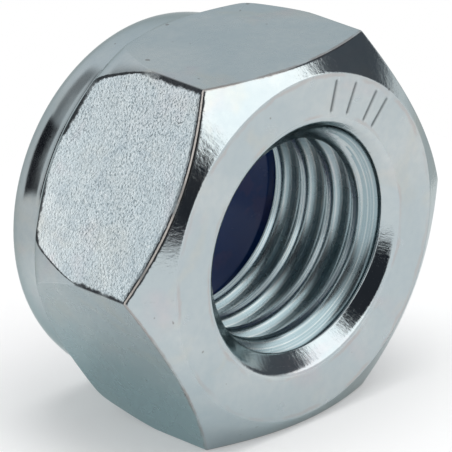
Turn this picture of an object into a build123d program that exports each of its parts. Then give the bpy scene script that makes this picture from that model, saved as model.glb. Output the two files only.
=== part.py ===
from build123d import *
import math
import os

# Nylon insert lock nut, M12 coarse thread, thin pattern with a rolled collar.
#
# The thread axis is Y. The bearing face points to -Y, the collar with its locking
# ring points to +Y, and the nut stands on one of its flats. The origin lies on the
# thread axis, midway along the nut. Heights are counted from the bearing face
# towards the collar. Millimetres, +Z up.

os.makedirs("parts", exist_ok=True)

# ------------------------------------------------------------------ hexagon
across_flats = 19.0
nut_height = 12.0  # bearing face to the top of the rolled collar
washer_face_diameter = 17.7  # circle where the front chamfer starts
front_chamfer_angle = 34.5  # degrees from the bearing face
corner_round = 0.18  # rounding along the six long corners

# ------------------------------------------------- shoulder behind the corners
shoulder_start = 3.4  # height where the corners start to draw in
shoulder_diameter = 20.72
shoulder_height = 8.25
shoulder_crown = 22.0  # large radius of the drawn-in corners
shoulder_round = 0.35

# ------------------------------------------------------------------- collar
collar_base_diameter = 18.76  # where the collar wall leaves the shoulder
collar_base_height = 9.2
collar_top_diameter = 17.9  # wall line carried on to the top
collar_round = 1.56
collar_root_fillet = 0.5
lip_bore_diameter = 13.8
lip_thickness = 0.85
lip_round = 0.3

# ------------------------------------------------------------- bore and thread
thread_diameter = 12.0
thread_minor_diameter = 10.4
thread_pitch = 1.75
first_groove = 0.95  # height of the first groove's middle
countersink_diameter = 13.0
countersink_angle = 90.0  # included angle
ring_seat_height = 7.6  # end of the steel thread, floor of the ring's pocket

# ------------------------------------------------------------- locking ring
ring_diameter = 16.0
ring_bore_diameter = 10.75
ring_bore_chamfer = 0.25
ring_pocket_clearance = 0.0  # the collar is rolled tight onto the ring

# ----------------------------------------------------------- derived values
across_corners = across_flats / math.cos(math.radians(30))
thread_radius = thread_diameter / 2
minor_radius = thread_minor_diameter / 2
root_flat = thread_pitch / 8
groove_width = root_flat + 2 * (thread_radius - minor_radius) * math.tan(math.radians(30))
groove_count = 1 + int((ring_seat_height - first_groove - groove_width / 2) / thread_pitch)
countersink_radius = countersink_diameter / 2
countersink_depth = (countersink_radius - minor_radius) / math.tan(math.radians(countersink_angle / 2))
washer_face_radius = washer_face_diameter / 2
envelope_radius = across_corners / 2 + corner_round
chamfer_rise = (envelope_radius - washer_face_radius) * math.tan(math.radians(front_chamfer_angle))
pocket_radius = ring_diameter / 2 + ring_pocket_clearance
pocket_top = nut_height - lip_thickness
ring_height = pocket_top - ring_seat_height

# The bearing face, and the half plane whose outlines are turned about the axis:
# there the first coordinate is a radius and the second a height.
bearing_face = Plane(origin=(0, -nut_height / 2, 0), x_dir=(1, 0, 0), z_dir=(0, 1, 0))
turning_plane = Plane(origin=(0, -nut_height / 2, 0), x_dir=(1, 0, 0), z_dir=(0, 0, 1))

# ----------------------------------------------------------------- nut body
with BuildPart() as nut_body:
    # hexagonal bar, standing on a flat
    with BuildSketch(bearing_face):
        RegularPolygon(radius=across_corners / 2, side_count=6)
    extrude(amount=nut_height)
    fillet(nut_body.edges().filter_by(Axis.Y), radius=corner_round)

    # turned outline: front chamfer, drawn-in corners, shoulder and collar
    with BuildSketch(turning_plane) as outline:
        with BuildLine():
            Polyline(
                (0, 0),
                (washer_face_radius, 0),
                (envelope_radius, chamfer_rise),
                (envelope_radius, shoulder_start),
            )
            RadiusArc(
                (envelope_radius, shoulder_start),
                (shoulder_diameter / 2, shoulder_height),
                -shoulder_crown,
            )
            Polyline(
                (shoulder_diameter / 2, shoulder_height),
                (collar_base_diameter / 2, collar_base_height),
                (collar_top_diameter / 2, nut_height),
                (0, nut_height),
                (0, 0),
            )
        make_face()
        turned = outline.vertices().sort_by_distance((shoulder_diameter / 2, shoulder_height))
        fillet(turned[0], radius=shoulder_round)
        turned = outline.vertices().sort_by_distance((collar_base_diameter / 2, collar_base_height))
        fillet(turned[0], radius=collar_root_fillet)
        turned = outline.vertices().sort_by_distance((collar_top_diameter / 2, nut_height))
        fillet(turned[0], radius=collar_round)
    revolve(axis=Axis.Y, mode=Mode.INTERSECT)

    # pocket of the locking ring, open through the rolled lip
    with BuildSketch(turning_plane) as pocket:
        with BuildLine():
            Polyline(
                (0, ring_seat_height),
                (pocket_radius, ring_seat_height),
                (pocket_radius, pocket_top),
                (lip_bore_diameter / 2, pocket_top),
                (lip_bore_diameter / 2, nut_height),
                (0, nut_height),
                close=True,
            )
        make_face()
    revolve(axis=Axis.Y, mode=Mode.SUBTRACT)
    fillet(
        nut_body.edges().filter_by(GeomType.CIRCLE).group_by(Axis.Y)[-1].sort_by(SortBy.RADIUS)[0],
        radius=lip_round,
    )

    # countersink
    with BuildSketch(turning_plane):
        with BuildLine():
            Polyline(
                (0, 0),
                (countersink_radius, 0),
                (minor_radius, countersink_depth),
                (0, countersink_depth),
                close=True,
            )
        make_face()
    revolve(axis=Axis.Y, mode=Mode.SUBTRACT)

    # bore at the minor diameter
    with BuildSketch(bearing_face):
        Circle(minor_radius)
    extrude(amount=ring_seat_height, mode=Mode.SUBTRACT)

    # thread grooves, one turn of 60 degree form per pitch
    with BuildSketch(turning_plane):
        grooves = [(minor_radius, first_groove + turn * thread_pitch) for turn in range(groove_count)]
        with Locations(*grooves):
            Polygon(
                (0, -groove_width / 2),
                (thread_radius - minor_radius, -root_flat / 2),
                (thread_radius - minor_radius, root_flat / 2),
                (0, groove_width / 2),
                align=None,
            )
    revolve(axis=Axis.Y, mode=Mode.SUBTRACT)

# ------------------------------------------------------------- locking ring
with BuildPart() as nylon_ring:
    with BuildSketch(turning_plane):
        with BuildLine():
            Polyline(
                (ring_bore_diameter / 2, ring_seat_height),
                (ring_diameter / 2, ring_seat_height),
                (ring_diameter / 2, ring_seat_height + ring_height),
                (ring_bore_diameter / 2, ring_seat_height + ring_height),
                close=True,
            )
        make_face()
    revolve(axis=Axis.Y)
    chamfer(
        nylon_ring.edges().filter_by(GeomType.CIRCLE).sort_by(SortBy.RADIUS)[:2],
        length=ring_bore_chamfer,
    )

nut_body.part.label = "nut_body"
export_step(nut_body.part, "parts/nut_body.step")

nylon_ring.part.label = "nylon_ring"
export_step(nylon_ring.part, "parts/nylon_ring.step")
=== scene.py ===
"""Dressed model of an M12 nylon insert lock nut.

The thread axis is Y and the bearing face points to -Y. Sizes are in millimetres here and
turn to metres when a mesh is made. A height is counted from the bearing face towards the
collar, and an angle runs round the thread axis from +X towards +Z.
"""

from __future__ import annotations

import logging
import math
from dataclasses import dataclass
from enum import Enum
from functools import cached_property

import bpy
import numpy as np
from mathutils import Matrix, Vector

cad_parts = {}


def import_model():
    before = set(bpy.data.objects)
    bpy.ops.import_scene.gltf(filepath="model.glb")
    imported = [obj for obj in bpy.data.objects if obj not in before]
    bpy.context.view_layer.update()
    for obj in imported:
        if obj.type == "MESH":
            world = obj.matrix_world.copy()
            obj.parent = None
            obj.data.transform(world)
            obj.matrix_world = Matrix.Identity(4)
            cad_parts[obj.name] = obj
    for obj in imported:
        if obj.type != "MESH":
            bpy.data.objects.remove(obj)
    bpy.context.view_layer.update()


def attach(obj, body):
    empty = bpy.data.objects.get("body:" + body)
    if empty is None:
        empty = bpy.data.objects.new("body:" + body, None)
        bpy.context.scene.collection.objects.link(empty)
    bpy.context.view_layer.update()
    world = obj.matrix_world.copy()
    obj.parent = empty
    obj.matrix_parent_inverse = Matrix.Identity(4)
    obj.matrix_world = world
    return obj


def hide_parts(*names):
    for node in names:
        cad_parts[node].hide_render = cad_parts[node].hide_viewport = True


LOG = logging.getLogger("lock_nut")
Colour = tuple[float, float, float]
Finishes = dict[str, bpy.types.Material]

MM = 0.001  # a millimetre in metres
NUT_HEIGHT = 12.0
SEAT_HEIGHT = 7.6  # where the steel thread ends and the ring starts
THREAD_PITCH = 1.75
FULL_TURN = 2 * math.pi
ARC_ROWS = 6  # rows of points on a rounded corner
FAR = 9.0  # a distance that no mark along an edge reaches


# ----- Shader graph helpers -----


class Value:
    """A number socket that Python's operators work on by adding Math nodes."""

    def __init__(self, graph: Graph, socket: bpy.types.NodeSocket) -> None:
        """Keeps the socket and the graph that it belongs to."""
        self.graph = graph
        self.socket = socket

    def _math(self, operation: str, first: object, second: object = None) -> Value:
        """Adds a Math node on one or two Values or numbers."""
        inputs = {0: first} if second is None else {0: first, 1: second}
        return self.graph.node("ShaderNodeMath", {"operation": operation}, inputs)

    def __add__(self, other: object) -> Value:
        """Sum."""
        return self._math("ADD", self, other)

    def __radd__(self, other: object) -> Value:
        """Sum with a number on the left."""
        return self._math("ADD", other, self)

    def __sub__(self, other: object) -> Value:
        """Difference."""
        return self._math("SUBTRACT", self, other)

    def __rsub__(self, other: object) -> Value:
        """Difference with a number on the left."""
        return self._math("SUBTRACT", other, self)

    def __mul__(self, other: object) -> Value:
        """Product."""
        return self._math("MULTIPLY", self, other)

    def __rmul__(self, other: object) -> Value:
        """Product with a number on the left."""
        return self._math("MULTIPLY", other, self)

    def __truediv__(self, other: object) -> Value:
        """Quotient."""
        return self._math("DIVIDE", self, other)

    def __rtruediv__(self, other: object) -> Value:
        """Quotient with a number on the left."""
        return self._math("DIVIDE", other, self)

    def __abs__(self) -> Value:
        """Size without its sign."""
        return self._math("ABSOLUTE", self)

    def root(self) -> Value:
        """Square root."""
        return self._math("SQRT", self)

    def sine(self) -> Value:
        """Sine of an angle in radians."""
        return self._math("SINE", self)

    def most(self, other: object) -> Value:
        """The larger of two values."""
        return self._math("MAXIMUM", self, other)

    def step(self, low: float, high: float) -> Value:
        """Smooth step that rises from 0 at low to 1 at high.

        Args:
            low: Where the step starts.
            high: Where the step ends. Below low, the step falls.

        Returns:
            The step as a Value between 0 and 1.
        """
        rising = low < high
        start, end = min(low, high), max(low, high)
        inputs = {0: self, 1: start, 2: end, 3: float(not rising), 4: float(rising)}
        return self.graph.node("ShaderNodeMapRange", {"interpolation_type": "SMOOTHSTEP"}, inputs)


class Graph:
    """The node tree of a material or a world, filled through one method."""

    def __init__(self, owner: bpy.types.Material | bpy.types.World) -> None:
        """Clears the owner's node tree and keeps it.

        Args:
            owner: The material or world that the nodes belong to.
        """
        owner.use_nodes = True
        self.tree = owner.node_tree
        self.tree.nodes.clear()

    def node(
        self, kind: str, settings: dict[str, object] | None = None,
        inputs: dict[int | str, object] | None = None, out: int | str = 0,
    ) -> Value:
        """Adds a node, sets it up and wires it.

        Args:
            kind: The node's type name.
            settings: Properties of the node, which are set first.
            inputs: Numbers, colours or Values by socket index or name.
            out: The output socket that is returned.

        Returns:
            The chosen output as a Value, or the first input of a node without outputs.
        """
        made = self.tree.nodes.new(kind)
        for key, setting in (settings or {}).items():
            setattr(made, key, setting)
        for key, given in (inputs or {}).items():
            socket = made.inputs[key]
            if isinstance(given, Value):
                self.tree.links.new(given.socket, socket)
            elif isinstance(given, tuple) and socket.type == "RGBA":
                socket.default_value = (*given[:3], 1.0)
            else:
                socket.default_value = given
        return Value(self, made.outputs[out] if made.outputs else made.inputs[0])

    def mix(self, factor: object, first: object, second: object) -> Value:
        """Mixes two colours by a factor, the share of the second."""
        inputs = {0: factor, 6: first, 7: second}
        return self.node("ShaderNodeMix", {"data_type": "RGBA"}, inputs, out=2)

    def vector(self, operation: str, first: object, second: object, out: int | str = 0) -> Value:
        """Adds a Vector Math node on two vectors."""
        inputs = {0: first, 1: second}
        return self.node("ShaderNodeVectorMath", {"operation": operation}, inputs, out)

    def split(self, vector: Value) -> tuple[Value, ...]:
        """The three parts of a vector."""
        parts = self.node("ShaderNodeSeparateXYZ", inputs={0: vector}).socket.node.outputs
        return tuple(Value(self, part) for part in parts)


class Surface(Graph):
    """The node tree of a material, which knows the point on the mesh in millimetres."""

    def __init__(self, owner: bpy.types.Material) -> None:
        """Clears the material's node tree and finds the point.

        Args:
            owner: The material that the nodes belong to.
        """
        super().__init__(owner)
        inputs = {0: self.node("ShaderNodeTexCoord", out="Object"), "Scale": 1 / MM}
        self.place = self.node("ShaderNodeVectorMath", {"operation": "SCALE"}, inputs)
        self.across, self.depth, self.up = self.split(self.place)

    def note(self, name: str) -> Value:
        """A number that the mesh carries at each point."""
        return self.node("ShaderNodeAttribute", {"attribute_name": name}, out="Fac")

    def combine(self, first: object, second: object, third: object) -> Value:
        """A vector from its three parts."""
        return self.node("ShaderNodeCombineXYZ", inputs={0: first, 1: second, 2: third})

    def radius(self) -> Value:
        """Distance of the point from the thread axis."""
        return (self.across * self.across + self.up * self.up).root()

    def turn(self) -> Value:
        """Angle of the point round the thread axis."""
        return self.node("ShaderNodeMath", {"operation": "ARCTAN2"}, {0: self.up, 1: self.across})

    def noise(
        self, scale: float, detail: float = 2.0, rough: float = 0.5, warp: float = 0.0,
        place: Value | None = None,
    ) -> Value:
        """Fractal noise between 0 and 1.

        Args:
            scale: Features per millimetre.
            detail: Number of octaves.
            rough: Share of the finer octaves.
            warp: Distortion.
            place: Where the noise is read, if that isn't the point on the mesh.

        Returns:
            The noise value.
        """
        return self.node("ShaderNodeTexNoise", {}, {
            "Vector": self.place if place is None else place, "Scale": scale, "Detail": detail,
            "Roughness": rough, "Distortion": warp,
        })

    def bump(self, height: Value, depth: float, under: Value | None = None) -> Value:
        """A bump from a height between 0 and 1.

        Args:
            height: The height field.
            depth: What a height of 1 stands for, in millimetres.
            under: The normal that this bump lies on.

        Returns:
            The bumped normal.
        """
        inputs = {"Strength": 1.0, "Distance": depth * MM, "Height": height}
        if under is not None:
            inputs["Normal"] = under
        return self.node("ShaderNodeBump", {}, inputs)

    def show(self, shader: Value) -> None:
        """Makes a shader the material's own."""
        self.node("ShaderNodeOutputMaterial", {}, {"Surface": shader})


# ----- Finishes -----


class Grain(Enum):
    """How a steel surface was made."""

    TURNED = "turned"
    PRESSED = "pressed"
    ROLLED = "rolled"
    CUT = "cut"


@dataclass(frozen=True)
class Stain:
    """Soft patches of another colour, from noise in millimetres."""

    colour: Colour
    share: float
    low: float
    high: float
    scale: float
    detail: float = 2.0
    rough: float = 0.5
    warp: float = 0.0
    stretch: tuple[float, float, float] | None = None

    def lay(self, graph: Surface, colour: Value) -> Value:
        """Lays the patches over a colour.

        Args:
            graph: The material's nodes.
            colour: Colour so far.

        Returns:
            The colour with the patches.
        """
        place = graph.vector("MULTIPLY", graph.place, self.stretch) if self.stretch else None
        field = graph.noise(self.scale, self.detail, self.rough, self.warp, place)
        return graph.mix(field.step(self.low, self.high) * self.share, colour, self.colour)


HAZE = Stain((0.58, 0.545, 0.46), 0.28, 0.52, 0.72, scale=0.23, warp=1.2, stretch=(1.0, 0.7, 1.3))
BLUSH = Stain((0.56, 0.48, 0.51), 0.30, 0.56, 0.76, scale=0.31, warp=0.8, stretch=(0.8, 1.2, 0.9))
MOTTLE = Stain((0.40, 0.47, 0.51), 0.32, 0.30, 0.75, scale=2.2, detail=3.0, rough=0.6)
SPECKS = Stain((0.16, 0.13, 0.12), 0.50, 0.225, 0.19, scale=2.3, detail=1.0, rough=0.4)
BLOTCHES = Stain((0.30, 0.36, 0.40), 0.38, 0.48, 0.68, scale=0.9, detail=3.0, rough=0.6)


@dataclass(frozen=True)
class ZincFinish:
    """Blue-bright zinc plating on steel."""

    name: str
    grain: Grain
    base: Colour = (0.465, 0.525, 0.545)
    pale: Colour = (0.540, 0.580, 0.585)
    # painted shade for the struck ticks and the trimmed flat's outline
    painted_shade: Colour = (0.014, 0.015, 0.019)
    # painted shade on the low side of the rolled flats and collar
    low_side_shade: Colour = (0.36, 0.50, 0.53)
    # painted shade on the lower part of the turned face and chamfer
    low_face_shade: Colour = (0.30, 0.39, 0.43)
    # painted shade on the top and front of the trimmed flat
    wear_and_painted_shade: Colour = (0.32, 0.38, 0.41)
    # painted shade in the dimples of the pressed relief
    dimple_shade: Colour = (0.14, 0.18, 0.20)
    # painted highlight on the ridges of the pressed relief
    ridge_highlight: Colour = (0.66, 0.70, 0.71)
    pit: Colour = (0.09, 0.11, 0.12)
    # painted shade in the low parts of the thread's tap lines
    groove: Colour = (0.18, 0.28, 0.32)
    hairline: Colour = (0.47, 0.40, 0.38)
    # painted highlight on the trimmed flat's bead
    bead: Colour = (0.66, 0.62, 0.58)
    rim: Colour = (0.30, 0.265, 0.25)
    glancing: Colour = (0.60, 0.65, 0.65)
    roughness: float = 0.30
    relief: float = 0.0
    lines: float = 0.0
    brush: float = 0.0
    rings: tuple[float, ...] = ()

    def make(self) -> bpy.types.Material:
        """Builds the material.

        Returns:
            The finished material.
        """
        material = bpy.data.materials.new(self.name)
        graph = Surface(material)
        height, normal = self._relief(graph)
        rough = graph.noise(0.8, 2.0, 0.5)
        roughness = (rough - 0.5) * 0.14 + self.roughness
        colour = self._grain_and_painted_shade(graph, self._plating(graph), height)
        if self.grain is not Grain.CUT:
            colour, roughness = self._edges(graph, colour, roughness)
            # painted shade in the struck ticks
            colour = graph.mix(graph.note("struck").step(0.25, 1.0) * 0.72, colour, self.painted_shade)
        graph.show(graph.node("ShaderNodeBsdfPrincipled", {}, {
            "Base Color": colour, "Metallic": 1.0, "Roughness": roughness, "Normal": normal,
            "Specular Tint": self.glancing,
        }))
        return material

    def _plating(self, graph: Surface) -> Value:
        """The plating's own colour: clouds, yellow and pink stains, mottling and specks.

        Args:
            graph: The material's nodes.

        Returns:
            The colour, with faint reddish hairlines along the finish's rings.
        """
        cloud = graph.noise(0.16, 3.0, 0.55, 0.6)
        colour = graph.mix(cloud.step(0.35, 0.68), self.base, self.pale)
        for stain in (HAZE, BLUSH, MOTTLE, SPECKS):
            colour = stain.lay(graph, colour)
        if self.rings:
            radius = graph.radius() + (graph.noise(0.8, 3.0, 0.6) - 0.5) * 0.5
            patchy = graph.noise(0.45, 2.0, 0.5).step(0.42, 0.60)
            for ring in self.rings:
                line = abs(radius - ring).step(0.17, 0.02) * patchy
                colour = graph.mix(line * 0.42, colour, self.hairline)
        return colour

    def _grain_and_painted_shade(self, graph: Surface, colour: Value, height: Value) -> Value:
        """Adds the grain's marks, and painted shade and highlights on the relief and the lower
        parts.

        Args:
            graph: The material's nodes.
            colour: Colour so far.
            height: Height of the coarse relief.

        Returns:
            The colour with the marks, the painted shade and the painted highlights.
        """
        if self.grain is Grain.PRESSED:
            return self._pressed(graph, colour, height)
        if self.grain is Grain.CUT:
            # painted shade in the low parts of the tap lines
            return graph.mix(height.step(0.57, 0.45) * 0.62, colour, self.groove)
        if self.grain is Grain.ROLLED:
            # painted shade: the rolled flats and collar turn darker teal towards the bottom
            return graph.mix(graph.up.step(-0.5, -7.5) * 0.75, colour, self.low_side_shade)
        # painted shade: the turned face and chamfer turn darker towards the lower left
        low = (graph.across * 0.5 + graph.up * 0.87).step(-5.6, -10.2)
        return graph.mix(low * 0.50, colour, self.low_face_shade)

    def _pressed(self, graph: Surface, colour: Value, height: Value) -> Value:
        """Adds blotches and pits, painted shade at the top front and in the dimples, and ridge
        highlights.

        Args:
            graph: The material's nodes.
            colour: Colour so far.
            height: Height of the coarse relief.

        Returns:
            The colour with the marks.
        """
        # painted shade: the trimmed flat grows darker towards its top and front
        wear_and_painted_shade = (graph.up - graph.depth * 1.2).step(-1.0, 8.0)
        colour = BLOTCHES.lay(graph, graph.mix(wear_and_painted_shade * 0.46, colour, self.wear_and_painted_shade))
        cluster = graph.noise(0.30, 2.0, 0.5).step(0.40, 0.60) * 0.5 + wear_and_painted_shade * 0.7 + 0.1
        # painted shade in the dimples of the relief
        colour = graph.mix(height.step(0.47, 0.32) * cluster * 0.60, colour, self.dimple_shade)
        # painted highlight on the ridges of the relief
        colour = graph.mix(height.step(0.54, 0.66) * 0.35, colour, self.ridge_highlight)
        pits = graph.noise(2.4, 3.0, 0.7, 0.8).step(0.33, 0.27)
        return graph.mix(pits * (wear_and_painted_shade * 0.8 + 0.1), colour, self.pit)

    def _edges(self, graph: Surface, colour: Value, roughness: Value) -> tuple[Value, Value]:
        """Paints shade along the trimmed flat's ragged outline and darkens the other flats' front
        edges.

        Args:
            graph: The material's nodes.
            colour: Colour so far.
            roughness: Roughness so far.

        Returns:
            The colour and the roughness, with a painted highlight on the bead along the trimmed
            flat's edge.
        """
        ragged = (graph.noise(2.6, 4.0, 0.7) - 0.5) * 0.36
        patchy = graph.noise(0.55, 2.0, 0.5)
        trimmed = graph.note("trimmed")
        front, side = graph.note("front_edge"), graph.note("side_edge")
        above = graph.up.step(5.0, 7.5) * 0.10
        side_patches = patchy.step(0.30, 0.50) * 0.4 + 0.6
        front_patches = patchy.step(0.30, 0.45) * 0.5 + 0.5
        # painted shade along the side, back and front edges of the trimmed flat
        dark_side = (side - above + ragged * 1.2).step(0.20, 0.06) * side_patches
        dark_front = (abs(front - 0.02) + ragged * 0.6).step(0.20, 0.12) * front_patches
        dark = dark_side.most(dark_front) * trimmed
        colour = graph.mix(dark * 0.92, colour, self.painted_shade)
        # painted highlight on the bead along the trimmed flat's front edge
        bead = (abs(front - 0.03) + ragged * 0.12).step(0.060, 0.030) * trimmed
        colour = graph.mix(bead * (patchy.step(0.32, 0.52) * 0.6 + 0.4), colour, self.bead)
        rim = (abs(front - 0.02) + ragged * 0.5).step(0.16, 0.05) * (1 - trimmed)
        colour = graph.mix(rim * patchy.step(0.30, 0.55) * 0.70, colour, self.rim)
        return colour, roughness + dark * 0.25

    def _relief(self, graph: Surface) -> tuple[Value, Value]:
        """The fine relief of the surface.

        Args:
            graph: The material's nodes.

        Returns:
            The height of the coarse relief and the normal.
        """
        coarse = graph.noise(2.6, 2.0, 0.5)
        normal = graph.bump(coarse, 0.0012)
        if self.relief > 0.0:
            coarse = graph.noise(8.6, 1.5, 0.6, 0.2)
            normal = graph.bump(coarse, self.relief, normal)
        if self.lines > 0.0:
            coarse = self._thread_lines(graph)
            normal = graph.bump(coarse, self.lines, normal)
        if self.brush > 0.0:
            strokes = graph.combine(graph.turn() * 9.0, graph.radius() * 0.55, 0.0)
            normal = graph.bump(graph.noise(2.4, 5.0, 0.72, place=strokes), self.brush, normal)
        return coarse, normal

    def _thread_lines(self, graph: Surface) -> Value:
        """Fine lines that the tap left along the helix, alike on each turn of the thread.

        Args:
            graph: The material's nodes.

        Returns:
            The height of the lines.
        """
        lead = 0.2785  # radius of the circle that one pitch goes round
        phase = graph.depth * (FULL_TURN / THREAD_PITCH) + graph.turn()
        across, along = phase.sine() * lead, (phase + math.pi / 2).sine() * lead
        place = graph.combine(across, along, graph.radius())
        return graph.noise(9.0, 2.0, 0.65, place=place)


@dataclass(frozen=True)
class NylonFinish:
    """Dark blue moulded nylon with a soft gloss."""

    name: str
    base: Colour = (0.008, 0.034, 0.130)
    wear_and_painted_shade: Colour = (0.026, 0.038, 0.125)
    roughness: float = 0.24
    refraction: float = 1.53
    gloss: float = 0.12
    relief: float = 0.004

    def make(self) -> bpy.types.Material:
        """Builds the material.

        Returns:
            The finished material.
        """
        material = bpy.data.materials.new(self.name)
        graph = Surface(material)
        cloud = graph.noise(0.4, 3.0, 0.5, 0.4)
        rough = graph.noise(1.6, 3.0, 0.6)
        fine = graph.noise(6.0, 3.0, 0.55)
        graph.show(graph.node("ShaderNodeBsdfPrincipled", {}, {
            "Base Color": graph.mix(cloud.step(0.50, 0.60), self.base, self.wear_and_painted_shade),
            "Roughness": (rough - 0.5) * 0.2 + self.roughness, "IOR": self.refraction,
            "Specular IOR Level": self.gloss, "Normal": graph.bump(fine, self.relief),
        }))
        return material


# ----- Turned skins -----


def eased(
    start: np.ndarray | float, end: np.ndarray | float, count: int, power: float = 1.0
) -> np.ndarray:
    """Rows between two heights without the first, closer near the end for a power above 1."""
    share = (1.0 - (1.0 - np.arange(1, count + 1) / count) ** power)[:, None]
    return np.asarray(start)[None, ...] * (1 - share) + np.asarray(end)[None, ...] * share


def corner_cut(
    before: np.ndarray, here: np.ndarray, beyond: np.ndarray, rounding: float
) -> tuple[np.ndarray, np.ndarray]:
    """Where the rounding of a corner starts and ends.

    Args:
        before: The points before the corner, one per column.
        here: The corner.
        beyond: The points after the corner.
        rounding: Radius of the rounding.

    Returns:
        The points where the rounding starts, and those where it ends.
    """
    back, ahead = before - here, beyond - here
    long_back = np.linalg.norm(back, axis=-1, keepdims=True)
    long_ahead = np.linalg.norm(ahead, axis=-1, keepdims=True)
    cosine = -(back * ahead).sum(-1, keepdims=True) / (long_back * long_ahead)
    half_turn = np.arccos(np.clip(cosine, -1, 1)) / 2
    room = 0.45 * np.minimum(long_back, long_ahead)
    reach = np.minimum(rounding * np.tan(half_turn), room)
    return here + back / long_back * reach, here + ahead / long_ahead * reach


def rounded_path(
    corners: list[tuple], rounds: list[float], straights: list[int], arc: int = ARC_ROWS
) -> np.ndarray:
    """Rounds the corners of a path of heights and radii, for all columns at once.

    Args:
        corners: Pairs of height and radius, each a number or one value per column.
        rounds: Rounding radius at each corner, 0 at the two ends.
        straights: Rows on each straight between two corners.
        arc: Rows on each rounded corner.

    Returns:
        An array of shape (rows, columns, 2).
    """
    width = max(np.size(part) for corner in corners for part in corner)
    points = [
        np.stack([np.broadcast_to(np.asarray(part, float), (width,)) for part in corner], axis=-1)
        for corner in corners
    ]
    rows = [points[0]]
    leave = points[0]
    for index, straight in enumerate(straights, start=1):
        here, last = points[index], index == len(points) - 1
        enter = after = here
        if not last:
            enter, after = corner_cut(points[index - 1], here, points[index + 1], rounds[index])
        for share in (step / straight for step in range(1, straight + 1)):
            rows.append(leave * (1 - share) + enter * share)
        for t in (step / arc for step in range(1, 1 if last else arc + 1)):
            rows.append(enter * (1 - t) ** 2 + here * 2 * t * (1 - t) + after * t**2)
        leave = after
    return np.stack(rows)


def soft_least(first: np.ndarray, second: np.ndarray, soft: np.ndarray | float) -> np.ndarray:
    """The smaller of two fields, with the crease between them rounded."""
    near = np.maximum(soft - np.abs(first - second), 0.0) / soft
    return np.minimum(first, second) - near**2 * soft / 4


def soft_most(first: np.ndarray, second: np.ndarray, soft: np.ndarray | float) -> np.ndarray:
    """The larger of two fields, with the crease between them rounded."""
    return -soft_least(-first, -second, soft)


@dataclass
class TurnedSkin:
    """A skin round the thread axis, from rows of heights and radii."""

    name: str
    weld: float = 2e-4

    def make(
        self, angles: np.ndarray, rows: np.ndarray, bands: np.ndarray,
        finishes: list[bpy.types.Material], closed: bool = True,
        notes: dict[str, np.ndarray | float] | None = None,
    ) -> bpy.types.Object:
        """Builds the mesh and its object.

        Args:
            angles: Column angles in radians, rising.
            rows: Heights and radii, of shape (rows, columns, 2).
            bands: Material index of each face, one row per strip between two rows.
            finishes: The materials.
            closed: Whether the last column joins the first. A thread's columns run on by one
                pitch instead, over a full turn, and meet point by point.
            notes: Named numbers for each point, which the finishes read.

        Returns:
            The new object.
        """
        height, radius = rows[..., 0], rows[..., 1]
        points = np.stack(
            [radius * np.cos(angles), height - NUT_HEIGHT / 2, radius * np.sin(angles)], axis=-1
        ).reshape(-1, 3)
        faces = self._faces(*height.shape, closed)
        points, faces, bands, kept = self._welded(points, faces, bands.reshape(-1))
        mesh = bpy.data.meshes.new(self.name)
        sides = [list(dict.fromkeys(face)) for face in faces.tolist()]
        mesh.from_pydata((points * MM).tolist(), [], sides)
        for finish in finishes:
            mesh.materials.append(finish)
        mesh.polygons.foreach_set("material_index", bands.astype(np.int32))
        mesh.polygons.foreach_set("use_smooth", np.ones(len(mesh.polygons), dtype=bool))
        for name, numbers in (notes or {}).items():
            layer = mesh.attributes.new(name, "FLOAT", "POINT")
            spread = np.broadcast_to(numbers, height.shape).reshape(-1)
            layer.data.foreach_set("value", spread[kept])
        mesh.update()
        mesh.validate()
        piece = bpy.data.objects.new(self.name, mesh)
        bpy.context.scene.collection.objects.link(piece)
        return piece

    @staticmethod
    def _faces(count: int, width: int, closed: bool) -> np.ndarray:
        """Four-sided faces between the rows.

        Args:
            count: Number of rows.
            width: Number of columns.
            closed: Whether the last column joins the first.

        Returns:
            The corners of each face as point indices.
        """
        here = np.arange(width if closed else width - 1)
        ahead = (here + 1) % width
        low = np.arange(count - 1)[:, None] * width
        high = low + width
        corners = [low + here, high + here, high + ahead, low + ahead]
        return np.stack(corners, axis=-1).reshape(-1, 4)

    def _welded(
        self, points: np.ndarray, faces: np.ndarray, bands: np.ndarray
    ) -> tuple[np.ndarray, np.ndarray, np.ndarray, np.ndarray]:
        """Joins points that lie on each other and drops faces without an area.

        Args:
            points: All points.
            faces: Four point indices per face.
            bands: Material index of each face.

        Returns:
            The points, faces and material indices left, and which points were kept.
        """
        keys = np.round(points / self.weld).astype(np.int64)
        _, first, place = np.unique(keys, axis=0, return_index=True, return_inverse=True)
        faces = place.reshape(-1)[faces]
        distinct = 1 + (np.diff(np.sort(faces, axis=1), axis=1) > 0).sum(axis=1)
        kept = distinct >= 3
        return points[first], faces[kept], bands[kept], first


# ----- The nut -----


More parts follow.
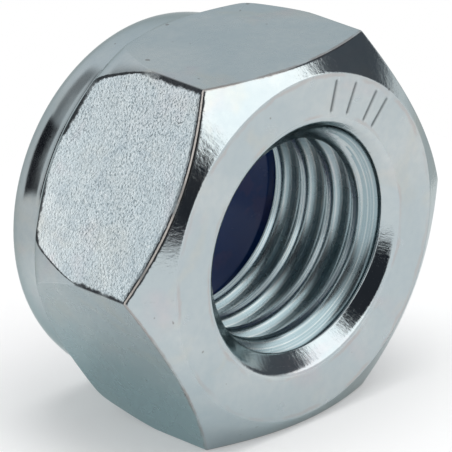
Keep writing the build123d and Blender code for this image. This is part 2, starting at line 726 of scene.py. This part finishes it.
@dataclass
class HexBarrel:
    """The steel body: bearing face, chamfer, six flats, shoulder, collar and lip.

    The shoulder and the collar are given by heights and radii, and lap is how far the front
    piece runs on over the flats. The bend is where the flats meet the shoulder, with its
    rounding and how that grows with the slope. The bead runs along the front edge of the
    trimmed flat. The rows are those on the straights of the front (mouth, face, chamfer and
    flats) and of the side (flats, bend and shoulder).
    """

    across_flats: float = 19.0
    corner_round: float = 0.18
    mouth_radius: float = 6.5
    mouth_depth: float = 0.36
    mouth_round: float = 0.62
    face_radius: float = 8.85
    face_round: float = 0.30
    chamfer_degrees: float = 34.5
    edge_round: float = 0.22
    lap: float = 0.55
    lip_radius: float = 6.9
    lip_round: float = 0.3
    lip_thickness: float = 0.85
    lip_back_round: float = 0.04
    lip_back_width: float = 0.5
    shoulder: tuple[tuple[float, float], ...] = (
        (3.4, 10.97), (4.69, 10.945), (5.26, 10.905), (6.08, 10.80), (6.95, 10.65), (7.73, 10.50),
        (8.18, 10.37), (8.42, 10.22), (8.66, 9.94), (8.87, 9.69), (9.01, 9.545), (9.11, 9.455),
        (9.22, 9.412), (9.36, 9.392), (9.55, 9.372), (9.75, 9.345),
    )
    collar: tuple[tuple[float, float], ...] = (
        (9.70, 9.352), (10.20, 9.275), (10.65, 9.170), (11.05, 9.02), (11.40, 8.805),
        (11.68, 8.53), (11.88, 8.18), (11.97, 7.80), (12.0, 7.40),
    )
    bend_reach: float = 0.2
    bend_soft: tuple[float, float] = (0.012, 0.07)
    trimmed_flat: float = 150.0
    trimmed_fade: float = 0.8
    side_fade: tuple[float, float] = (3.9, 1.2)
    bead_height: float = 0.03
    bead_place: float = 0.15
    bead_width: float = 0.07
    bead_half_turn: float = 29.0
    tick_turns: tuple[float, ...] = (74.4, 64.6, 53.4, 47.0)
    tick_span: tuple[float, float] = (6.95, 8.45)
    tick_depth: float = 0.085
    tick_half_width: float = 0.16
    corner_columns: tuple[float, ...] = (0.0, 0.14, 0.28, 0.42, 0.58, 0.80, 1.15)
    flat_columns: int = 55
    front_rows: tuple[int, int, int, int] = (2, 30, 10, 6)
    side_rows: tuple[int, int, int] = (34, 10, 32)

    def build(self, finishes: Finishes) -> list[bpy.types.Object]:
        """Builds the front and the barrel, with materials by surface name."""
        return [self._front(finishes), self._barrel(finishes)]

    @cached_property
    def angles(self) -> np.ndarray:
        """Places the columns closer together at the six corners.

        Returns:
            The angle of each column in radians.
        """
        even = np.linspace(self.corner_columns[-1], 30.0, self.flat_columns + 1)
        half = [*self.corner_columns, *even[1:]]
        side = np.asarray(half + [60.0 - angle for angle in reversed(half[1:-1])])
        return np.radians(np.concatenate([side + 60.0 * turn for turn in range(6)]))

    @cached_property
    def off_corner(self) -> np.ndarray:
        """Angle between each column and the hexagon's nearest corner."""
        return np.abs((self.angles + math.pi / 6) % (math.pi / 3) - math.pi / 6)

    @cached_property
    def hexagon(self) -> np.ndarray:
        """Works out the hexagon with its rounded corners.

        Returns:
            The hexagon's radius at each column.
        """
        apothem, half_side, off_corner = self.across_flats / 2, math.pi / 6, self.off_corner
        flat = apothem / np.cos(half_side - off_corner)
        centre = (apothem - self.corner_round) / math.cos(half_side)
        side = centre * np.sin(off_corner)
        rise = np.sqrt(np.maximum(self.corner_round**2 - side**2, 0.0))
        touch = math.atan((apothem - self.corner_round) * math.tan(half_side) / apothem)
        return np.where(off_corner < half_side - touch, centre * np.cos(off_corner) + rise, flat)

    @cached_property
    def front_edge(self) -> np.ndarray:
        """Height at each column where the chamfer meets the hexagon."""
        slope = math.tan(math.radians(self.chamfer_degrees))
        return (self.hexagon - self.face_radius) * slope

    @cached_property
    def meets(self) -> tuple[np.ndarray, np.ndarray]:
        """Finds where the hexagon meets the shoulder.

        Returns:
            The height at each column, and the slope of the shoulder there.
        """
        fine = np.linspace(self.shoulder[0][0], self.shoulder[-1][0], 1271)
        outline = self.turned_radius(fine)
        meet = np.interp(-self.hexagon, -outline, fine)
        return meet, np.abs(np.interp(meet, fine, np.gradient(outline, fine)))

    def turned_radius(self, heights: np.ndarray) -> np.ndarray:
        """Radius of the turned outline behind the corners, at the given heights."""
        fine = self._spline(np.asarray(self.shoulder))
        return np.interp(heights, fine[:, 0], fine[:, 1])

    @staticmethod
    def _spline(stations: np.ndarray, samples: int = 24) -> np.ndarray:
        """A Catmull-Rom curve through the stations.

        Args:
            stations: Points on the curve, one per row.
            samples: Points of the curve for each station.

        Returns:
            The points of the curve, with the last station at its end.
        """
        before, after = 2 * stations[0] - stations[1], 2 * stations[-1] - stations[-2]
        padded = np.vstack([before, stations, after])
        t = np.linspace(0, 1, samples + 1)[:-1, None]
        parts = []
        for a, b, c, d in zip(padded[:-3], padded[1:-2], padded[2:-1], padded[3:]):
            square, cube = 2 * a - 5 * b + 4 * c - d, 3 * b - a - 3 * c + d
            parts.append(0.5 * (2 * b + (c - a) * t + square * t**2 + cube * t**3))
        return np.vstack([*parts, stations[-1:]])

    def _trimmed(self, half: float = 30.6) -> np.ndarray:
        """How far each column belongs to the trimmed flat, from 0 to 1.

        Args:
            half: Angle from the flat's middle at which the share is 0, in degrees.

        Returns:
            One share per column.
        """
        away = np.abs(np.degrees(self.angles) - self.trimmed_flat)
        inside = np.clip((half - away) / self.trimmed_fade, 0.0, 1.0)
        return inside * inside * (3 - 2 * inside)

    def _edge_notes(self, heights: np.ndarray) -> dict[str, np.ndarray]:
        """Distances in millimetres to the outline of the flats, for the finishes.

        Args:
            heights: Heights of all points.

        Returns:
            The distance to the front edge, negative on the chamfer, the distance to the
            other edges, and the share of the trimmed flat.
        """
        edge, meet = self.front_edge, self.meets[0]
        lean = 1 / math.sin(math.radians(self.chamfer_degrees))
        to_front = (heights - edge) * np.where(heights < edge, lean, 1.0)
        to_corner = self.across_flats / 2 / math.cos(math.pi / 6) * self.off_corner
        start, width = self.side_fade
        behind = np.abs(meet - heights) + 0.5 * np.clip((to_corner - start) / width, 0.0, 1.0) ** 2
        on_flat = (heights < meet + 0.05) & (heights > edge)
        to_side = np.minimum(np.where(on_flat, to_corner, FAR), behind)
        return {"front_edge": to_front, "side_edge": to_side, "trimmed": self._trimmed()}

    def _struck(self, rows: np.ndarray) -> np.ndarray:
        """Depth of the ticks struck in the bearing face.

        Args:
            rows: Heights and radii of the front.

        Returns:
            The depth at each point, 0 off the face.
        """
        ways = np.stack([np.cos(self.angles), np.sin(self.angles)], axis=-1)
        points = rows[..., 1, None] * ways[None]
        depth = np.zeros(points.shape[:-1])
        for turn in np.radians(self.tick_turns):
            way = np.array([math.cos(turn), math.sin(turn)])
            along = np.clip(points @ way, *self.tick_span)
            away = np.linalg.norm(points - along[..., None] * way, axis=-1)
            tick = self.tick_depth * np.clip(1 - away / self.tick_half_width, 0, 1)
            depth = np.maximum(depth, tick)
        first = self.front_rows[0] + ARC_ROWS
        depth[:first], depth[first + self.front_rows[1] + 1 :] = 0.0, 0.0
        return depth

    def _skin(
        self, name: str, rows: np.ndarray, notes: dict[str, np.ndarray],
        chosen: Finishes, runs: list[tuple[str, int]],
    ) -> bpy.types.Object:
        """Makes a piece of the body, with its own finish on the two trimmed flats.

        Args:
            name: The piece's name.
            rows: Heights and radii.
            notes: Named numbers for each point.
            chosen: The piece's materials by surface name.
            runs: Surface names and how many strips each has, from the front to the back.

        Returns:
            The piece.
        """
        place = {surface: index for index, surface in enumerate(chosen)}
        strips = np.concatenate([np.full(count, place[surface]) for surface, count in runs])
        bands = np.repeat(strips[:, None], len(self.angles), axis=1)
        middles = np.degrees(self.angles + np.diff(np.append(self.angles, FULL_TURN)) / 2)
        offset = np.abs((middles - self.trimmed_flat + 90) % 180 - 90)
        rough = (bands == place["flats"]) & (offset < 30)[None]
        bands = np.where(rough, place["trimmed"], bands)
        materials = list(chosen.values())
        return TurnedSkin(name).make(self.angles, rows, bands, materials, notes=notes)

    def _front(self, finishes: Finishes) -> bpy.types.Object:
        """The countersink's mouth, the bearing face, the chamfer and the start of the flats.

        Args:
            finishes: Materials by surface name.

        Returns:
            The piece.
        """
        edge, hexagon = self.front_edge, self.hexagon
        corners = [
            (self.mouth_depth, self.mouth_radius - self.mouth_depth), (0.0, self.mouth_radius),
            (0.0, self.face_radius), (edge, hexagon), (edge + self.lap, hexagon),
        ]
        rounds = [0.0, self.mouth_round, self.face_round, self.edge_round, 0.0]
        rows = rounded_path(corners, rounds, list(self.front_rows))
        depth = self._struck(rows)
        rows[..., 0] += depth
        off_bead = (rows[..., 0] - edge - self.bead_place) / self.bead_width
        bead = self.bead_height * np.exp(-(off_bead**2)) * self._trimmed(self.bead_half_turn)
        rows[..., 1] += np.where(rows[..., 0] > edge, bead, 0.0)
        notes = self._edge_notes(rows[..., 0])
        mouth, face, chamfer, flats = self.front_rows
        notes["front_edge"][: mouth + ARC_ROWS + 1] = -FAR
        notes["struck"] = depth / self.tick_depth
        half = ARC_ROWS // 2
        runs = [
            ("chamfer", mouth + ARC_ROWS - 1), ("face", 1 + face + half),
            ("chamfer", half + chamfer + half), ("flats", half + flats),
        ]
        chosen = {name: finishes[name] for name in ("face", "chamfer", "flats", "trimmed")}
        return self._skin("nut_front", rows, notes, chosen, runs)

    def _barrel(self, finishes: Finishes) -> bpy.types.Object:
        """The flats, the shoulder, the collar and its lip.

        Args:
            finishes: Materials by surface name.

        Returns:
            The piece.
        """
        start = self.front_edge + self.lap
        meet, slope = self.meets
        low, high = meet - self.bend_reach, meet + self.bend_reach
        flat, bend, shoulder = self.side_rows
        heights = np.concatenate([
            start[None], eased(start, low, flat), eased(low, high, bend),
            eased(high, np.full_like(meet, self.collar[0][0]), shoulder, 1.6),
        ])
        soft = self.bend_soft[0] + self.bend_soft[1] * slope
        flats = np.broadcast_to(self.hexagon, heights.shape)
        radii = soft_least(flats, self.turned_radius(heights), soft)
        radii[0] = self.hexagon
        side = np.stack([heights, radii], axis=-1)
        rows = np.concatenate([side, self._collar(len(self.angles))])
        flat_strips = flat + bend // 2
        runs = [("flats", flat_strips), ("collar", len(rows) - 1 - flat_strips)]
        chosen = {name: finishes[name] for name in ("flats", "collar", "trimmed")}
        return self._skin("nut_barrel", rows, self._edge_notes(rows[..., 0]), chosen, runs)

    def _collar(self, width: int) -> np.ndarray:
        """Rows of the rolled collar, over its top and down the lip's bore.

        Args:
            width: Number of columns.

        Returns:
            Heights and radii, of shape (rows, columns, 2).
        """
        dome = self._spline(np.asarray(self.collar))[::10]
        back = NUT_HEIGHT - self.lip_thickness
        corners = [
            tuple(dome[-1]), (NUT_HEIGHT, self.lip_radius), (back, self.lip_radius),
            (back, self.lip_radius + self.lip_back_width),
        ]
        lip = rounded_path(corners, [0.0, self.lip_round, self.lip_back_round, 0.0], [2, 3, 1])
        line = np.concatenate([dome[1:], lip[1:, 0]])
        return np.repeat(line[:, None, :], width, axis=1)


@dataclass
class ThreadedHole:
    """The countersink and the right-hand thread, whose teeth are measured in pitches."""

    major_radius: float = 6.0
    minor_radius: float = 5.2
    tooth_height: float = 0.5413
    first_crest: float = 1.68
    start_height: float = 0.36
    start_radius: float = 6.14
    seat_width: float = 0.6
    blend: float = 0.28
    mouth_blend: float = 0.22
    turns_drawn: tuple[int, int] = (-2, 7)
    rows_per_pitch: int = 28
    columns: int = 300

    def wall(self, heights: np.ndarray, angles: np.ndarray) -> tuple[np.ndarray, np.ndarray]:
        """Radius of the hole's wall.

        Args:
            heights: Heights, one row per line.
            angles: Column angles in radians.

        Returns:
            Radii of the same shape as heights, and where the countersink is the wall.
        """
        pitch = THREAD_PITCH
        crest = self.first_crest - pitch * angles / FULL_TURN
        phase = np.abs((heights - crest + pitch / 2) % pitch - pitch / 2)
        flank = self.major_radius - self.tooth_height * pitch + (phase - pitch / 8) * math.sqrt(3.0)
        groove = soft_most(flank, np.float64(self.minor_radius), self.blend)
        groove = soft_least(groove, np.float64(self.major_radius), self.blend)
        cone = self.start_height + self.start_radius - heights
        return soft_most(groove, cone, self.mouth_blend), cone > groove

    def build(self, finishes: Finishes) -> bpy.types.Object:
        """Builds the hole's skin.

        Args:
            finishes: Materials by surface name.

        Returns:
            The piece.
        """
        angles = np.linspace(0, FULL_TURN, self.columns + 1)
        first, last = (turn * self.rows_per_pitch for turn in self.turns_drawn)
        turns = np.arange(first, last + 1) / self.rows_per_pitch
        base = self.first_crest + (turns - 0.5) * THREAD_PITCH
        heights = base[:, None] - THREAD_PITCH * angles[None] / FULL_TURN
        heights = np.clip(heights, self.start_height, SEAT_HEIGHT)
        radii, sunk = self.wall(heights, angles[None])
        radii = np.where(heights <= self.start_height + 1e-9, self.start_radius, radii)
        seat = np.array([[[SEAT_HEIGHT, self.major_radius + self.seat_width]]])
        seat = np.repeat(seat, len(angles), axis=1)
        rows = np.concatenate([np.stack([heights, radii], axis=-1), seat])
        bands = sunk[:, :-1].astype(int)
        chosen = [finishes["thread"], finishes["chamfer"]]
        skin = TurnedSkin("nut_thread")
        return skin.make(angles, rows, bands, chosen, closed=False, notes={"front_edge": FAR})


@dataclass
class LockingRing:
    """The nylon ring held under the collar's lip.

    The ends of its skin meet in a seam under the ring, a little inside the outer edge.
    """

    top_height: float = 11.15
    outer_radius: float = 7.9
    outer_round: float = 0.10
    bore_radius: float = 5.375
    bore_chamfer: float = 0.25
    bore_round: float = 0.12
    seam: float = 0.3
    columns: int = 240

    def build(self, finish: bpy.types.Material) -> bpy.types.Object:
        """Builds the ring.

        Args:
            finish: The nylon.

        Returns:
            The piece.
        """
        angles = np.linspace(0, FULL_TURN, self.columns + 1)[:-1]
        bore, cut, outer = self.bore_radius, self.bore_chamfer, self.outer_radius
        low, high = SEAT_HEIGHT, self.top_height
        corners = [
            (low, outer - self.seam), (low, bore + cut), (low + cut, bore), (high - cut, bore),
            (high, bore + cut), (high, outer), (low, outer), (low, outer - self.seam),
        ]
        rounds = [0.0, *[self.bore_round] * 4, *[self.outer_round] * 2, 0.0]
        path = rounded_path(corners, rounds, [6, 2, 12, 2, 8, 6, 1], arc=4)
        rows = np.repeat(path, len(angles), axis=1)
        bands = np.zeros((len(rows) - 1, len(angles)), dtype=int)
        return TurnedSkin("locking_ring").make(angles, rows, bands, [finish])


# ----- Floor, light and camera -----


@dataclass(frozen=True)
class Panel:
    """A soft box or a dark flag far away, as light that only reflections and shading see.

    The azimuth runs from +X towards +Y. The angles are in degrees, wide and tall are half
    angles, edge is half the width of the soft edge, and lean turns the panel in its plane.
    """

    azimuth: float
    elevation: float
    wide: float
    tall: float
    edge: float
    colour: Colour
    lean: float = 0.0

    def cover(self, graph: Graph, towards: Value) -> Value:
        """How much of the panel is met in a direction.

        Args:
            graph: The world's graph.
            towards: The direction looked in.

        Returns:
            1 inside the panel and 0 outside, with a soft edge.
        """
        turn, tilt = math.radians(self.azimuth), math.radians(self.elevation)
        flat = math.cos(tilt)
        axis = Vector((math.cos(turn) * flat, math.sin(turn) * flat, math.sin(tilt)))
        level = Vector((-math.sin(turn), math.cos(turn), 0.0))
        level.rotate(Matrix.Rotation(math.radians(self.lean), 3, axis))
        depth = graph.vector("DOT_PRODUCT", towards, tuple(axis), "Value").most(0.001)
        covers = []
        for side, half in ((level, self.wide), (axis.cross(level), self.tall)):
            away = abs(graph.vector("DOT_PRODUCT", towards, tuple(side), "Value") / depth)
            outer, inner = half + self.edge, max(half - self.edge, 0.1)
            covers.append(away.step(math.tan(math.radians(outer)), math.tan(math.radians(inner))))
        return covers[0] * covers[1]


@dataclass
class Studio:
    """A pale floor, soft light and the camera.

    Each panel is laid over those before it. The shading light is the strength of the sky for
    rays that leave a matt surface. The floor reaches to its left, front, right and back, and
    turns clear over the fade behind the nut. The lamp and the camera's sight are in metres.
    """

    backdrop: Colour = (1.0, 1.0, 1.0)
    panels: tuple[Panel, ...] = (
        Panel(70.0, 0.0, 62.0, 44.0, 8.0, (0.73, 0.75, 0.76)),
        Panel(20.0, 82.0, 40.0, 40.0, 10.0, (0.72, 0.73, 0.74)),
        Panel(35.0, 32.0, 46.0, 20.0, 8.0, (0.80, 0.83, 0.86)),
        Panel(150.0, 36.0, 18.0, 26.0, 5.0, (1.86, 1.86, 1.86)),
        Panel(-63.0, 39.0, 28.5, 23.0, 3.0, (1.80, 1.80, 1.78)),
        Panel(-119.0, 24.0, 22.0, 28.0, 1.5, (0.030, 0.033, 0.040)),
        Panel(-18.0, 24.0, 16.0, 26.0, 3.0, (0.10, 0.11, 0.125)),
        Panel(98.0, 28.0, 5.5, 14.0, 3.0, (0.26, 0.27, 0.28), 55.0),
        Panel(112.0, 9.0, 9.0, 14.0, 1.5, (0.012, 0.012, 0.016), 25.0),
        Panel(180.0, 8.0, 22.0, 18.0, 6.0, (0.10, 0.11, 0.12)),
    )
    shading_light: float = 0.58
    floor_height: float = -9.5
    floor_reach: tuple[float, float, float, float] = (-80.0, -120.0, 32.0, 31.0)
    floor_fade: tuple[float, float] = (6.0, 30.0)
    floor_paper: float = 0.86
    floor_seen: float = 0.73
    floor_glow: float = 0.25
    lamp_place: tuple[float, float, float] = (0.02, -0.03, 0.34)
    lamp_size: float = 0.28
    lamp_watts: float = 0.85
    eye: tuple[float, float, float] = (-241.87, -242.32, 143.84)
    azimuth: float = -45.009
    elevation: float = 22.869
    roll: float = -0.438
    lens: float = 599.94
    sensor: float = 36.0
    sight: tuple[float, float] = (0.01, 10.0)

    def camera(self) -> bpy.types.Object:
        """Builds the camera and makes it the scene's own.

        Returns:
            The camera.
        """
        turn, tilt, roll = (math.radians(a) for a in (self.azimuth, self.elevation, self.roll))
        flat = math.cos(tilt)
        back = Vector((math.sin(turn) * flat, -math.cos(turn) * flat, math.sin(tilt)))
        level = Vector((math.cos(turn), math.sin(turn), 0.0))
        right = level * math.cos(roll) + back.cross(level) * math.sin(roll)
        facing = Matrix((right, back.cross(right), back)).transposed()
        data = bpy.data.cameras.new("camera")
        data.lens, data.sensor_width = self.lens, self.sensor
        data.clip_start, data.clip_end = self.sight
        camera = bpy.data.objects.new("camera", data)
        camera.matrix_world = Matrix.Translation(Vector(self.eye) * MM) @ facing.to_4x4()
        bpy.context.scene.collection.objects.link(camera)
        bpy.context.scene.camera = camera
        return camera

    def floor(self) -> bpy.types.Object:
        """Builds the floor.

        Returns:
            The floor, marked as stage.
        """
        mesh = bpy.data.meshes.new("floor")
        left, front, right, back = self.floor_reach
        corners = [(left, front), (right, front), (right, back), (left, back)]
        points = [Vector((x, y, self.floor_height)) * MM for x, y in corners]
        mesh.from_pydata(points, [], [(0, 1, 2, 3)])
        mesh.materials.append(self._paper())
        floor = bpy.data.objects.new("floor", mesh)
        bpy.context.scene.collection.objects.link(floor)
        return floor

    def _paper(self) -> bpy.types.Material:
        """A floor that looks white, keeps the nut's shadow and turns clear behind the nut.

        Returns:
            The material.
        """
        material = bpy.data.materials.new("pale_floor")
        graph = Surface(material)
        paper, pale = (
            graph.node("ShaderNodeBsdfDiffuse", {}, {"Color": (grey, grey, grey)})
            for grey in (self.floor_paper, self.floor_seen)
        )
        glow = {"Color": self.backdrop, "Strength": self.floor_glow}
        glow = graph.node("ShaderNodeEmission", {}, glow)
        seen = graph.node("ShaderNodeAddShader", {}, {0: pale, 1: glow})
        rays = graph.node("ShaderNodeLightPath").socket.node.outputs
        camera, glossy, through = (
            Value(graph, rays[f"Is {kind} Ray"]) for kind in ("Camera", "Glossy", "Transmission")
        )
        looked_at = camera.most(glossy).most(through)
        shader = graph.node("ShaderNodeMixShader", {}, {0: looked_at, 1: paper, 2: seen})
        clear = graph.node("ShaderNodeBsdfTransparent")
        behind = graph.depth.step(*self.floor_fade)
        graph.show(graph.node("ShaderNodeMixShader", {}, {0: behind, 1: shader, 2: clear}))
        return material

    def sky(self) -> None:
        """White behind the nut, and soft boxes and dark flags around it."""
        world = bpy.data.worlds.new("studio")
        bpy.context.scene.world = world
        graph = Graph(world)
        towards = graph.node("ShaderNodeTexCoord", out="Generated")
        unseen = 1 - graph.node("ShaderNodeLightPath", out="Is Camera Ray")
        colour: object = self.backdrop
        for panel in self.panels:
            colour = graph.mix(panel.cover(graph, towards) * unseen, colour, panel.colour)
        shading = graph.node("ShaderNodeLightPath", out="Is Diffuse Ray")
        strength = shading * (self.shading_light - 1) + 1
        shader = graph.node("ShaderNodeBackground", {}, {"Color": colour, "Strength": strength})
        graph.node("ShaderNodeOutputWorld", {}, {"Surface": shader})

    def lamp(self) -> None:
        """Hangs one large soft lamp overhead, which stays out of reflections."""
        data = bpy.data.lights.new("overhead", "AREA")
        data.shape, data.energy = "RECTANGLE", self.lamp_watts
        data.size = data.size_y = self.lamp_size
        lamp = bpy.data.objects.new("overhead", data)
        lamp.location = Vector(self.lamp_place)
        lamp.rotation_euler = (-lamp.location).to_track_quat("-Z", "Y").to_euler()
        lamp.visible_glossy = False
        bpy.context.scene.collection.objects.link(lamp)


def zinc_finishes() -> Finishes:
    """Makes the finishes of the steel.

    Returns:
        Materials by surface name.
    """
    kinds = {
        "face": ZincFinish("zinc_face", Grain.TURNED, roughness=0.30, rings=(6.72, 8.72)),
        "chamfer": ZincFinish(
            "zinc_chamfer", Grain.TURNED, roughness=0.080, relief=0.0022, brush=0.014
        ),
        "flats": ZincFinish("zinc_flats", Grain.ROLLED, roughness=0.27),
        "trimmed": ZincFinish("zinc_trimmed", Grain.PRESSED, roughness=0.32, relief=0.022),
        "collar": ZincFinish("zinc_collar", Grain.ROLLED, roughness=0.13),
        "thread": ZincFinish(
            "zinc_thread", Grain.CUT, base=(0.43, 0.495, 0.505), pale=(0.51, 0.555, 0.56),
            roughness=0.27, lines=0.006,
        ),
    }
    return {surface: kind.make() for surface, kind in kinds.items()}


def main() -> None:
    """Builds the nut and its studio in order."""
    logging.basicConfig(level=logging.INFO, format="%(name)s: %(message)s")
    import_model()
    finishes = zinc_finishes()
    for piece in (*HexBarrel().build(finishes), ThreadedHole().build(finishes)):
        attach(piece, "root")
        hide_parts("nut_body")
        LOG.info("%s has %d faces", piece.name, len(piece.data.polygons))
    ring = LockingRing().build(NylonFinish("blue_nylon").make())
    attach(ring, "root")
    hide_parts("nylon_ring")
    LOG.info("%s has %d faces", ring.name, len(ring.data.polygons))
    studio = Studio()
    studio.floor()
    studio.sky()
    studio.lamp()
    studio.camera()
    bpy.context.scene.view_settings.view_transform = "Standard"


if __name__ == "__main__":
    main()
